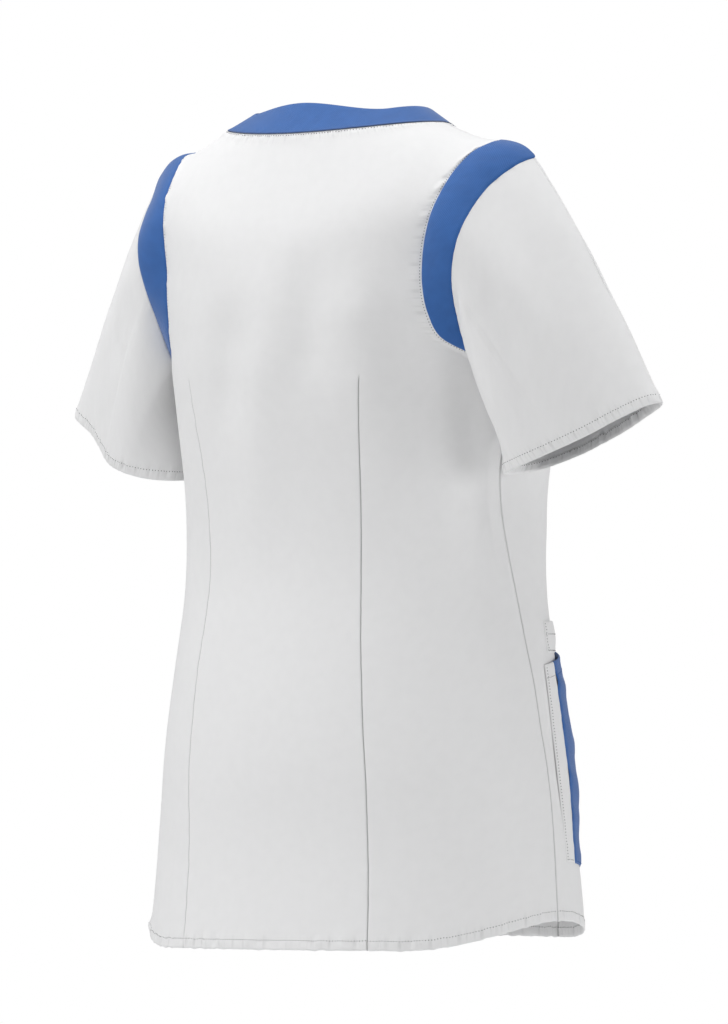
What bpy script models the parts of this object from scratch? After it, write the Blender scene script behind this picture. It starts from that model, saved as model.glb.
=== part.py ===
"""Medical tunic with blue contrast pieces, filled out with no wearer. Metres, +Z up, front at -Y.

The origin is on the wearer's midline, level with the neck ends of the shoulder seams.
"""
import math

import bmesh
import bpy
from mathutils import Vector

MM = 0.001

# Cloth, in millimetres
WALL = 1.5
SEAM_GAP = 0.42
RIDGE_GAP = 0.75        # where the two walls at a seam lean towards each other
POCKET_WALL = 1.4
LAY_GAP = 0.6           # between a pocket and the panel it lies on

# Mesh density
BODY_COLUMNS = 11       # across half of the back or front
SLEEVE_ROWS = 9
INSET_COLUMNS = 5
BAND_COLUMNS = 4
NECK_STEP = 0.12        # short last row of the back, below the neckband
SHOULDER_STEP = 0.15    # short last row of the front, beside the shoulder seam
EDGE_STEP = 0.03        # short step beside a seam, so that both walls turn alike there

# Body below the underarm. One row for each height: z, half width, depth behind and before
# the middle, and how far behind the middle the side seam lies.
BODY_LEVELS = (
    # z, half_width, back_depth, front_depth, side_seam_y
    (-731.0, 220.5, 144.5, 144.5, 3.0),
    (-690.0, 216.0, 141.0, 144.0, 0.0),
    (-650.0, 211.5, 139.5, 143.0, -3.0),
    (-610.0, 207.0, 141.0, 141.0, -5.0),
    (-573.0, 202.5, 144.0, 138.5, -5.0),
    (-535.0, 197.0, 143.5, 136.5, -2.0),
    (-497.0, 192.0, 140.0, 133.0, 1.0),
    (-459.0, 185.5, 135.5, 127.0, 5.0),
    (-421.0, 180.5, 129.5, 124.0, 10.0),
    (-383.0, 178.5, 127.5, 125.5, 18.0),
    (-345.0, 178.0, 130.5, 131.0, 25.0),
    (-307.0, 179.0, 136.0, 139.5, 27.0),
    (-269.0, 182.0, 144.0, 149.0, 20.0),
)

# Body from the underarm up to the neck. Each row is one level of the surface: the point
# where it meets the back of the armhole, then its height and depth at the centre back,
# its height and depth at the centre front, and the y of its middle.
# The rows after the shoulder tip end on the shoulder seam.
YOKE_LEVELS = (
    # edge_x, edge_y, edge_z, back_z, back_y, front_z, front_y, middle_y
    (185.0, 9.0, -229.0, -229.0, 150.5, -229.0, 153.5, 0.0),
    (183.0, 28.0, -225.0, -225.5, 151.0, -225.0, 153.5, 0.0),
    (178.0, 46.0, -218.0, -219.0, 151.6, -218.0, 153.0, 0.0),
    (169.5, 64.0, -208.0, -210.5, 152.4, -209.5, 152.2, 0.0),
    (155.3, 86.3, -194.0, -197.0, 153.0, -196.0, 150.5, 0.0),
    (149.0, 96.0, -173.0, -178.0, 153.2, -180.0, 147.0, 0.0),
    (147.0, 100.5, -152.0, -158.0, 152.6, -164.0, 142.0, 0.0),
    (146.8, 100.8, -130.0, -140.0, 151.0, -148.0, 135.0, 2.0),
    (149.5, 100.5, -109.0, -125.0, 148.8, -134.0, 126.5, 6.0),
    (154.0, 97.5, -87.0, -112.0, 146.3, -120.0, 116.0, 12.0),
    (159.0, 89.0, -67.0, -101.0, 143.6, -108.0, 104.5, 17.0),
    (163.0, 75.0, -48.0, -93.0, 141.2, -97.0, 92.0, 20.0),
    (168.5, 56.0, -31.5, -87.0, 139.2, -88.0, 80.0, 21.0),
    (175.5, 40.0, -23.5, -83.0, 137.8, -81.0, 71.0, 25.0),
    (172.5, 26.0, -21.0, -79.0, 136.4, -75.0, 63.5, 26.0),
    (152.0, 29.0, -17.0, -56.5, 129.0, -58.5, 57.0, 29.0),
    (132.5, 32.0, -10.0, -33.5, 120.8, -42.5, 51.0, 32.0),
    (113.5, 34.0, -2.5, -12.0, 112.0, -28.0, 44.0, 34.0),
)
TIP_LEVEL = 14          # the row of YOKE_LEVELS at the shoulder tip

# Front armhole: how far it lies in from the back one, at each yoke row up to the tip
FRONT_SCOOP = (0.0, 2.0, 3.0, 4.0, 3.0, 1.0, 0.0, -1.0, -1.5, -1.0, 0.0, 1.0, 1.0, 0.0, 0.0)

# Hem: the curve rises towards the side seams, and the front is a little shorter
HEM_SIDE_RISE = 26.0
HEM_FRONT_RISE = 9.0
HEM_RISE_START = math.radians(38.0)
HEM_REACH = 150.0       # height over which the rise dies out

# Front neck: a V, as the half width of the opening at each level of the yoke
NECK_V = (
    # yoke_row, half_width
    (5.0, 0.0),
    (7.0, 22.0),
    (9.0, 39.5),
    (11.0, 53.5),
    (13.0, 66.0),
    (15.0, 80.0),
    (16.4, 92.0),
    (17.0, 101.0),
    (17.0, 108.0),
    (17.0, 112.0),
    (17.0, 113.5),
)
V_ROW = 5               # yoke row whose centre front is the point of the V
V_POINT_GAP = 0.5

# Neckband: where its free edge lies from the neck seam, inwards, upwards and to the back
BAND_BACK = (25.0, 28.0)
BAND_SHOULDER = (25.0, 14.5)
BAND_TURN = 1.5         # how soon round the back it takes its shoulder form
BAND_POINT = (5.0, 44.0)

# Sleeve-side edge of the inset, from the shoulder to the back of the underarm
INSET_EDGE = (
    # x, y, z
    (210.0, 22.0, -36.0),
    (207.0, 37.0, -40.5),
    (200.0, 52.0, -50.0),
    (192.5, 66.5, -63.0),
    (188.5, 81.5, -79.5),
    (185.0, 94.5, -99.0),
    (180.5, 99.5, -121.0),
    (175.5, 96.5, -144.0),
    (172.0, 88.0, -166.0),
    (170.2, 77.0, -188.0),
    (170.8, 65.0, -206.5),
)
INSET_TIP = 1.2         # width that is left at each end of the crescent
INSET_BULGE = 5.0
CRESCENT_ROW = 3        # yoke row where the crescent ends
INSET_STEPS = TIP_LEVEL - CRESCENT_ROW
INSET_TURN = 0.35       # share of the run from the shoulder over which it turns to the front

# Cuff: an oval in a sloping plane, seen square on as x and y
CUFF = (
    # x, y, z
    (336.0, 4.0, -253.5),
    (329.5, 15.0, -256.0),
    (316.0, 22.0, -262.5),
    (300.0, 28.0, -270.5),
    (283.0, 38.0, -281.0),
    (267.0, 50.0, -290.5),
    (250.0, 61.0, -299.5),
    (231.0, 65.0, -307.0),
    (211.0, 60.0, -312.5),
    (196.0, 49.5, -314.5),
    (188.5, 34.0, -314.5),
    (188.5, 17.0, -313.5),
    (196.0, 0.0, -310.5),
    (211.0, -12.0, -304.5),
    (232.0, -18.0, -296.5),
    (258.0, -19.0, -286.0),
    (285.0, -17.0, -275.0),
    (310.0, -12.0, -264.0),
    (329.0, -6.0, -256.0),
)
SLEEVE_BULGE = 5.5      # how far the outer line of the sleeve swells
SLEEVE_BACK = 4.0       # the same towards the back
SLEEVE_LOW_BACK = 12.0  # added to that lower down, where the cloth hangs round the arm
SLEEVE_FRONT = 9.0      # and towards the front
SLEEVE_CLEAR = 7.0      # from the side of the body, at the cuff
UNDERARM_REACH = 25.0   # below the underarm, where the sleeve clears its widest level

# Patch pockets. Angles run round the body from the centre back, in degrees. The mouth
# rises towards the front, and the patch swells away from the body between two angles.
POCKETS = (
    # name, from_angle, to_angle, top_z, bottom_z, rise_z, swell, swell_from, swell_to
    ("pocket_strip", 98.0, 105.6, -481.0, -668.0, 20.0, 5.0, 98.0, 152.0),
    ("pocket_panel", 105.8, 152.0, -481.0, -668.0, 20.0, 5.0, 98.0, 152.0),
    ("pocket_upper", 103.0, 138.0, -442.0, -470.0, 0.0, 2.0, 103.0, 138.0),
)
MOUTH_SWELL = 0.62      # of the swell is left at the mouth
POCKET_ROWS = 9

WHITE = (0.86, 0.87, 0.88, 1.0)
BLUE = (0.075, 0.19, 0.42, 1.0)
COLOURS = {
    "inset": BLUE,
    "neckband": BLUE,
    "pocket_panel": BLUE,
}


def mix(a, b, share):
    return a + (b - a) * share


def smooth(share):
    """Ease in and out between 0 and 1."""
    share = min(max(share, 0.0), 1.0)
    return share * share * (3.0 - 2.0 * share)


def through(table, place):
    """A row read from a table at a fractional place, on a smooth curve through its rows."""
    last = len(table) - 1
    place = min(max(place, 0.0), float(last))
    first = min(int(place), last - 1)
    part = place - first
    p1 = table[first]
    p2 = table[first + 1]
    p0 = table[max(first - 1, 0)]
    p3 = table[min(first + 2, last)]
    row = []
    for a, b, c, d in zip(p0, p1, p2, p3):
        row.append(b + 0.5 * part * (c - a + part * (2 * a - 5 * b + 4 * c - d
                                                     + part * (3 * (b - c) + d - a))))
    return row


def yoke_level(place):
    """Half width, middle, depths and heights of the yoke at a fractional row."""
    edge_x, edge_y, edge_z, back_z, back_y, front_z, front_y, middle = through(
        YOKE_LEVELS, place)
    cosine = (edge_y - middle) / (back_y - middle)
    sine = math.sqrt(1.0 - cosine * cosine)
    side_z = back_z + (edge_z - back_z) / (sine * sine)
    return {
        "half_width": edge_x / sine,
        "middle": middle,
        "back": back_y - middle,
        "front": front_y + middle,
        "back_z": back_z,
        "side_z": side_z,
        "front_z": front_z,
        "edge_angle": math.atan2(sine, cosine),
    }


def hem_rise(angle):
    """How far the hem stands above its lowest line, at an angle from the centre back."""
    side = math.pi / 2
    if angle <= side:
        return HEM_SIDE_RISE * smooth((angle - HEM_RISE_START) / (side - HEM_RISE_START))
    away = (angle - side) / (side - HEM_RISE_START)
    return mix(HEM_SIDE_RISE, HEM_FRONT_RISE, smooth(away))


def body_level(place):
    """The same for the body below the underarm, whose levels are flat."""
    z, half_width, back, front, side_y = through(BODY_TABLE, place)
    return {
        "half_width": half_width,
        "middle": 0.0,
        "back": back,
        "front": front,
        "back_z": z,
        "side_z": z,
        "front_z": z,
        "edge_angle": math.acos(side_y / back if side_y > 0 else side_y / front),
    }


def level(place):
    """Places count up from 0 at the hem, through the underarm, to the neck."""
    if place <= UNDERARM:
        return body_level(place)
    return yoke_level(place - UNDERARM)


def surface(angle, place):
    """A point of the outer face of the body, on the wearer's left."""
    at = level(place)
    sine = math.sin(angle)
    cosine = math.cos(angle)
    depth = at["back"] if cosine > 0 else at["front"]
    end_z = at["back_z"] if cosine > 0 else at["front_z"]
    z = end_z + (at["side_z"] - end_z) * sine * sine
    if z < BODY_LEVELS[0][0] + HEM_REACH:
        z += hem_rise(angle) * (1.0 - (z - BODY_LEVELS[0][0]) / HEM_REACH)
    return Vector((at["half_width"] * sine, at["middle"] + depth * cosine, z))


def place_at(z):
    """The place on the body whose flat level is at a height below the underarm."""
    low = 0.0
    high = float(UNDERARM)
    for _ in range(40):
        half = (low + high) / 2
        if body_level(half)["back_z"] < z:
            low = half
        else:
            high = half
    return low


BODY_TABLE = BODY_LEVELS + ((YOKE_LEVELS[0][3], YOKE_LEVELS[0][0] / math.sqrt(
    1.0 - (YOKE_LEVELS[0][1] / YOKE_LEVELS[0][4]) ** 2),
    YOKE_LEVELS[0][4], YOKE_LEVELS[0][6], YOKE_LEVELS[0][1]),)
UNDERARM = len(BODY_TABLE) - 1
TIP = UNDERARM + TIP_LEVEL
NECK = UNDERARM + len(YOKE_LEVELS) - 1


def front_angle(place):
    """Where the front armhole meets a level, as an angle from the centre back."""
    row = place - UNDERARM
    at = yoke_level(row)
    scoop = through([(value,) for value in FRONT_SCOOP], row)[0]
    edge_x = at["half_width"] * math.sin(at["edge_angle"]) - scoop
    sine = min(edge_x / at["half_width"], 1.0)
    side = math.asin(sine)
    if row < 2.0:
        return mix(level(UNDERARM)["edge_angle"], math.pi - side, math.sin(math.pi / 4 * row))
    if row > TIP_LEVEL - 1.0:
        return mix(math.pi - side, math.pi / 2, smooth(row - TIP_LEVEL + 1.0))
    return math.pi - side


def neck_v(share):
    """Angle and place of the V edge, from its point at 0 to the shoulder at 1."""
    row, width = through(NECK_V, share * (len(NECK_V) - 1))
    place = min(UNDERARM + row, NECK)
    sine = min(max(width, 0.0) / level(place)["half_width"], 1.0)
    return math.pi - math.asin(sine), place


def shares(count, short_start=False, short_end=True):
    """Even steps from 0 to 1, with an extra short step at a seam."""
    steps = [number / count for number in range(count + 1)]
    if short_start:
        steps.insert(1, EDGE_STEP)
    if short_end:
        steps.insert(-1, 1.0 - EDGE_STEP)
    return steps


def back_rows():
    """Pairs of ends of each row of the back, as angle and place."""
    rows = []
    for place in list(range(NECK)) + [NECK - NECK_STEP, NECK]:
        end = level(place)["edge_angle"] if place <= TIP else math.pi / 2
        rows.append(((0.0, place), (end, place)))
    return rows


def v_rows():
    """Yoke rows of the front from the point of the V up to the shoulder seam."""
    return list(range(V_ROW, TIP_LEVEL)) + [TIP_LEVEL - SHOULDER_STEP, TIP_LEVEL]


def front_rows():
    """The same for the front, whose last row is the shoulder seam."""
    rows = []
    for row in range(UNDERARM):
        rows.append(((math.pi, row), (level(row)["edge_angle"], row)))
    for row in list(range(V_ROW)) + v_rows():
        place = UNDERARM + row
        start = (math.pi, place)
        if row > V_ROW:
            start = neck_v((row - V_ROW) / (TIP_LEVEL - V_ROW))
        rows.append((start, (front_angle(place), place)))
    return rows


def body_grid(rows, open_start=False):
    """Points of half a panel. Its seam edges are drawn in by half the seam gap."""
    grid = []
    for start, end in rows:
        line = []
        for share in shares(BODY_COLUMNS, short_start=open_start):
            line.append(surface(mix(start[0], end[0], share), mix(start[1], end[1], share)))
        grid.append(line)
    if open_start:
        grid[-2][-1] = grid[-3][-1].lerp(grid[-1][-1], 1.0 - SHOULDER_STEP)
    trimmed = [list(line) for line in grid]
    for number, line in enumerate(grid):
        trimmed[number][-1] = drawn_in(line[-1], line[-2])
        if open_start and line[0].x > 1.0:
            trimmed[number][0] = drawn_in(line[0], line[1])
    if open_start:
        trimmed[UNDERARM + V_ROW][0].z -= V_POINT_GAP
    for column, point in enumerate(grid[-2]):
        by = RIDGE_GAP / 2 if open_start else SEAM_GAP / 2
        trimmed[-1][column] = drawn_in(trimmed[-1][column], point, by)
    return trimmed


def drawn_in(point, towards, by=SEAM_GAP / 2):
    return point + (towards - point).normalized() * by


def mesh_object(name, grid, wrap=False, mirror=False, side=1.0, flip=False, inwards=True,
                wall=WALL):
    """An open sheet through a grid of points, given its wall by Solidify."""
    mesh = bpy.data.meshes.new(name)
    work = bmesh.new()
    verts = []
    for line in grid:
        row = []
        for point in line:
            x = 0.0 if mirror and abs(point.x) < 1e-6 else point.x
            row.append(work.verts.new((x * side * MM, point.y * MM, point.z * MM)))
        verts.append(row)
    wide = len(grid[0])
    for lower, upper in zip(verts, verts[1:]):
        for column in range(wide if wrap else wide - 1):
            following = (column + 1) % wide
            corners = (lower[column], lower[following], upper[following], upper[column])
            work.faces.new(corners if (side > 0) != flip else corners[::-1])
    work.to_mesh(mesh)
    work.free()
    thing = bpy.data.objects.new(name, mesh)
    if mirror:
        symmetry = thing.modifiers.new("both halves", "MIRROR")
        symmetry.use_axis = (True, False, False)
        symmetry.use_clip = True
        symmetry.merge_threshold = 0.0001
    cloth = thing.modifiers.new("cloth wall", "SOLIDIFY")
    cloth.thickness = wall * MM
    cloth.offset = -1.0 if inwards else 1.0
    cloth.use_even_offset = True
    cloth.use_quality_normals = True
    group = bpy.data.collections.new(name)
    bpy.context.scene.collection.children.link(group)
    group.objects.link(thing)
    paint(thing)
    return thing


def paint(thing):
    """Give a piece its own material, in the colour of its kind."""
    colour = WHITE
    for start, value in COLOURS.items():
        if thing.name.startswith(start):
            colour = value
    cloth = bpy.data.materials.new(thing.name + "_cloth")
    cloth.use_nodes = True
    cloth.diffuse_color = colour
    shader = cloth.node_tree.nodes["Principled BSDF"]
    shader.inputs["Base Color"].default_value = colour
    shader.inputs["Roughness"].default_value = 0.85
    shader.inputs["Metallic"].default_value = 0.0
    thing.data.materials.append(cloth)


def body_edge(front=False):
    """Armhole edge of the body from the underarm up to the shoulder tip."""
    line = []
    for row in range(TIP_LEVEL + 1):
        place = UNDERARM + row
        angle = front_angle(place) if front else level(place)["edge_angle"]
        line.append(surface(angle, place))
    return line


def spaced(line, count):
    """The same open line read at even steps along its length."""
    lengths = [0.0]
    for a, b in zip(line, line[1:]):
        lengths.append(lengths[-1] + (b - a).length)
    out = []
    step = 0
    for number in range(count):
        want = lengths[-1] * number / (count - 1)
        while step < len(line) - 2 and lengths[step + 1] < want:
            step += 1
        share = (want - lengths[step]) / (lengths[step + 1] - lengths[step])
        out.append(line[step].lerp(line[step + 1], share))
    return out


def inset_outer_edge():
    """Sleeve-side edge of the inset, from the back tip over the shoulder to the front tip."""
    fine = [Vector(through(INSET_EDGE, number / 4)) for number in range(4 * len(INSET_EDGE) - 3)]
    down_back = spaced(fine, INSET_STEPS + 1)
    back_edge = body_edge()[::-1]
    front_edge = body_edge(front=True)[::-1]
    down_front = []
    for number in range(1, INSET_STEPS + 1):
        across = down_back[number] - back_edge[number]
        turned = smooth(number / INSET_STEPS / INSET_TURN)
        across.y *= mix(1.0, -1.0, turned)
        down_front.append(front_edge[number] + across)
    for edge, line in ((back_edge, down_back), (front_edge, down_front)):
        body = edge[INSET_STEPS]
        line[-1] = body + (line[-1] - body).normalized() * (INSET_TIP + 2 * RIDGE_GAP)
    return down_back[::-1] + down_front


def inset_inner_edge():
    """Body-side edge of the inset, over the same run."""
    back = body_edge()[CRESCENT_ROW:]
    front = body_edge(front=True)[CRESCENT_ROW:]
    return back + front[::-1][1:]


def inset_grid():
    inner = inset_inner_edge()
    outer = inset_outer_edge()
    grid = []
    last = len(inner) - 1
    for number, (a, b) in enumerate(zip(inner, outer)):
        along = number / last
        start = drawn_in(a, b, RIDGE_GAP)
        end = drawn_in(b, a)
        middle = inner[last // 2] - Vector((0.0, 0.0, 90.0))
        outwards = ((a + b) / 2 - middle).normalized()
        width = (b - a).length
        line = []
        for share in shares(INSET_COLUMNS, short_start=True):
            swell = INSET_BULGE * 4 * share * (1 - share) * min(width / 40.0, 1.0)
            line.append(start.lerp(end, share) + outwards * swell * math.sin(math.pi * along))
        grid.append(line)
    return grid


def sleeve_start():
    """Ring where the sleeve begins, from the shoulder round the back to the front."""
    outer = inset_outer_edge()
    ring = outer[:INSET_STEPS + 1][::-1]
    ring += body_edge()[:CRESCENT_ROW][::-1]
    ring += body_edge(front=True)[1:CRESCENT_ROW]
    ring += outer[INSET_STEPS + 1:][::-1]
    return ring


def run_shares(ring):
    """How far round a closed ring each of its points lies, from 0 up to 1."""
    lengths = [0.0]
    for a, b in zip(ring, ring[1:] + ring[:1]):
        lengths.append(lengths[-1] + (b - a).length)
    return [length / lengths[-1] for length in lengths[:-1]]


def sleeve_grid():
    ring = sleeve_start()
    turns = run_shares(ring)
    count = len(CUFF)
    looped = [CUFF[(number - 1) % count] for number in range(count + 3)]
    fine = [Vector(through(looped, 1.0 + number / 8)) for number in range(count * 8)]
    fine_turns = run_shares(fine)
    cuff = []
    for turn in turns:
        after = sum(1 for value in fine_turns if value <= turn) - 1
        following = (after + 1) % len(fine)
        end = fine_turns[following] if following else 1.0
        part = (turn - fine_turns[after]) / (end - fine_turns[after])
        cuff.append(fine[after].lerp(fine[following], part))
    grid = []
    for share in shares(SLEEVE_ROWS, short_start=True, short_end=False):
        line = []
        for a, b, turn in zip(ring, cuff, turns):
            upper = max(math.cos(2 * math.pi * turn), 0.0) ** 0.7
            out = Vector((0.82, 0.0, 0.57)) * SLEEVE_BULGE * upper
            out.y = math.sin(2 * math.pi * turn)
            lower = max(-math.cos(2 * math.pi * turn), 0.0) ** 0.5
            out.y *= SLEEVE_BACK + SLEEVE_LOW_BACK * lower if out.y > 0 else SLEEVE_FRONT
            point = a.lerp(b, share) + out * 4 * share * (1 - share) * (1.35 - 0.7 * share)
            line.append(clear_of_body(point, share) if share > 0 else point)
        grid.append(line)
    underarm = range(INSET_STEPS, len(ring) - INSET_STEPS + 1)
    for column, (a, b) in enumerate(zip(grid[0], grid[1])):
        if column in underarm:
            grid[0][column] = a + Vector((a.x, a.y, 0.0)).normalized() * RIDGE_GAP
        else:
            grid[0][column] = drawn_in(a, b, RIDGE_GAP)
    return grid


def clear_of_body(point, share):
    """The point, moved sideways if it comes nearer to the body than the sleeve may."""
    at = level(place_at(point.z))
    depth = at["back"] if point.y > 0 else at["front"]
    near_seam = 1.0 - smooth((YOKE_LEVELS[0][2] - point.z) / UNDERARM_REACH)
    half_width = mix(at["half_width"], level(UNDERARM + 2)["half_width"], near_seam)
    body_x = half_width * math.sqrt(max(1.0 - (point.y / depth) ** 2, 0.0))
    if point.z < YOKE_LEVELS[CRESCENT_ROW][2]:
        point.x = max(point.x, body_x + SEAM_GAP + SLEEVE_CLEAR * min(share * 1.6, 1.0))
    return point


def band_grid():
    """The neckband, from its seam to its free edge, on the wearer's left."""
    grid = []
    for turn in shares(BODY_COLUMNS):
        angle = math.pi / 2 * turn
        share = smooth(turn * BAND_TURN)
        inwards = mix(BAND_BACK[0], BAND_SHOULDER[0], share)
        up = mix(BAND_BACK[1], BAND_SHOULDER[1], share)
        way = Vector((-math.sin(angle) * inwards, -math.cos(angle) * inwards, up))
        grid.append(band_line(surface(angle, NECK), way))
    shoulder = surface(*neck_v(1.0))
    point_of_v = surface(*neck_v(0.0))
    shoulder_way = Vector((-BAND_SHOULDER[0], 0.0, BAND_SHOULDER[1]))
    point_way = Vector((0.0, BAND_POINT[0], BAND_POINT[1]))
    for row in v_rows()[::-1][1:]:
        seam = surface(*neck_v((row - V_ROW) / (TIP_LEVEL - V_ROW)))
        covered = (shoulder.z - seam.z) / (shoulder.z - point_of_v.z)
        grid.append(band_line(seam, shoulder_way.lerp(point_way, covered)))
    return grid


def band_line(seam, way):
    foot = seam + way.normalized() * RIDGE_GAP
    return [foot.lerp(seam + way, share) for share in
            shares(BAND_COLUMNS, short_start=True, short_end=False)]


def pocket_grid(start, end, top, bottom, mouth_rise, swell, swell_from, swell_to):
    """A patch on the front: points of the panel moved out along its normal."""
    columns = max(3, round((end - start) / 5.0))
    low = place_at(bottom)
    grid = []
    for row in range(POCKET_ROWS + 1):
        rise = row / POCKET_ROWS
        line = []
        for column in range(columns + 1):
            turn = mix(start, end, column / columns)
            angle = math.radians(turn)
            across = (turn - swell_from) / (swell_to - swell_from)
            place = mix(low, place_at(top + mouth_rise * across), rise)
            point = surface(angle, place)
            ahead = surface(angle + 0.02, place) - surface(angle - 0.02, place)
            above = surface(angle, place + 0.02) - surface(angle, place - 0.02)
            normal = ahead.cross(above)
            if normal.dot(Vector((point.x, point.y, 0.0))) < 0:
                normal = -normal
            full = math.sin(math.pi * across) ** 0.6 * smooth(rise * 2.0)
            full *= mix(1.0, MOUTH_SWELL, smooth(rise * 2.0 - 1.0))
            line.append(point + normal.normalized() * (LAY_GAP + swell * full))
        grid.append(line)
    return grid


def clear_scene():
    for thing in list(bpy.data.objects):
        bpy.data.objects.remove(thing, do_unlink=True)


def build():
    clear_scene()
    mesh_object("back", body_grid(back_rows()), mirror=True, flip=True)
    mesh_object("front", body_grid(front_rows(), open_start=True), mirror=True)
    for name, side in (("right", -1.0), ("left", 1.0)):
        mesh_object("inset_" + name, inset_grid(), side=side, flip=True)
        mesh_object("sleeve_" + name, sleeve_grid(), wrap=True, side=side, flip=True)
        for kind, *sizes in POCKETS:
            if kind == "pocket_upper" and name == "left":
                continue
            mesh_object(kind + "_" + name, pocket_grid(*sizes), side=side, flip=True,
                        inwards=False, wall=POCKET_WALL)
    mesh_object("neckband", band_grid(), mirror=True)


build()
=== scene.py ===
import functools
import math

import bmesh
import bpy
import numpy as np
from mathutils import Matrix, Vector, noise


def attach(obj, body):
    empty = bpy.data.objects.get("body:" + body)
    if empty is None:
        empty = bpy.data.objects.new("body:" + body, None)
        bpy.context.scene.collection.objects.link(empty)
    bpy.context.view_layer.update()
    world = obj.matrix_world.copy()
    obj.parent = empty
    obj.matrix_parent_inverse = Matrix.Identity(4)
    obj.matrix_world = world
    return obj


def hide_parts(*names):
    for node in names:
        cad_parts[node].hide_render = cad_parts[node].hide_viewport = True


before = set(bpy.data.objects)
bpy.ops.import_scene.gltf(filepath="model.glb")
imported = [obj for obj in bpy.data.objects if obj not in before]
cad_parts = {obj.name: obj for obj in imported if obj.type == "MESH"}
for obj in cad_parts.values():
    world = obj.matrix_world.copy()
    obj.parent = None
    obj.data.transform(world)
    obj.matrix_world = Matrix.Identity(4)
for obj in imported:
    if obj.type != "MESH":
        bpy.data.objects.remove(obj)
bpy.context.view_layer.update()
mm = 0.001  # all tables and sizes below are in millimetres

scene = bpy.context.scene
scene.view_settings.view_transform = "Standard"

# how the cloth is made up, shared by all the sheets
cloth = {
    "thick": 1.7,          # two layers, at a hem
    "single": 0.5,         # share of that where there is one layer
    "lip": 0.2,            # share left where an edge is turned into a seam
    "seam": 0.14,          # from a seam line to each edge
    "lipDrop": 0.6,
    "tuckDrop": 0.12,      # the same where another piece lies beneath
    "tuck": [(0, 0.85), (0.8, 0.55), (1.4, 0.26), (2.2, 0.08), (3.4, 0.0)],
    "lipReach": 0.5,
    "hemWide": 9.5,
    "stitchUp": 8.6,       # stitch line above a free edge
    "edgeStitch": 2.1,     # stitch line beside a seam
    "scallop": 1.3,        # unevenness of the hem's edge
    "puckerDown": 1.5,     # puckers and gathers below the stitch line
    "gatherDown": 2.5, "gatherReach": 5.0,
    "foldIn": 0.42, "foldReach": 0.55,       # a turned hem rounds off at its fold
    "foldLip": 0.25, "foldTurn": 0.8, "foldEnd": 0.9, "seamTurn": 1.3,
    "smooth": math.radians(55),
}


def mix(a, b, share):
    return a + (b - a) * share


def ease(share):
    share = min(max(share, 0.0), 1.0)
    return share * share * (3.0 - 2.0 * share)


def easeAll(share):
    share = np.clip(share, 0.0, 1.0)
    return share * share * (3.0 - 2.0 * share)


def bell(away, reach):  # 1 at no distance, fading to 0
    return np.exp(-(away / reach) ** 2)


def hemGather(away):  # full just below the stitch line
    return bell(away - cloth["stitchUp"] + cloth["gatherDown"], cloth["gatherReach"])


def fromStitch(away):
    return np.abs(away - cloth["stitchUp"] + cloth["puckerDown"])


def edgeShares(long, near, far, count):  # close at both ends of a length, even between them
    low, high = near[-1] / long, 1 - far[0] / long
    return ([d / long for d in near] + [mix(low, high, k / count) for k in range(1, count)]
            + [1 - d / long for d in far])


def readTable(table, place):  # smooth curve through the rows of a table
    last = len(table) - 1
    place = min(max(place, 0.0), float(last))
    first = min(int(place), last - 1)
    part = place - first
    p0, p1 = table[max(first - 1, 0)], table[first]
    p2, p3 = table[first + 1], table[min(first + 2, last)]
    return [b + 0.5 * part * (c - a + part * (2 * a - 5 * b + 4 * c - d + part * (3 * (b - c) + d - a)))
            for a, b, c, d in zip(p0, p1, p2, p3)]


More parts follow.
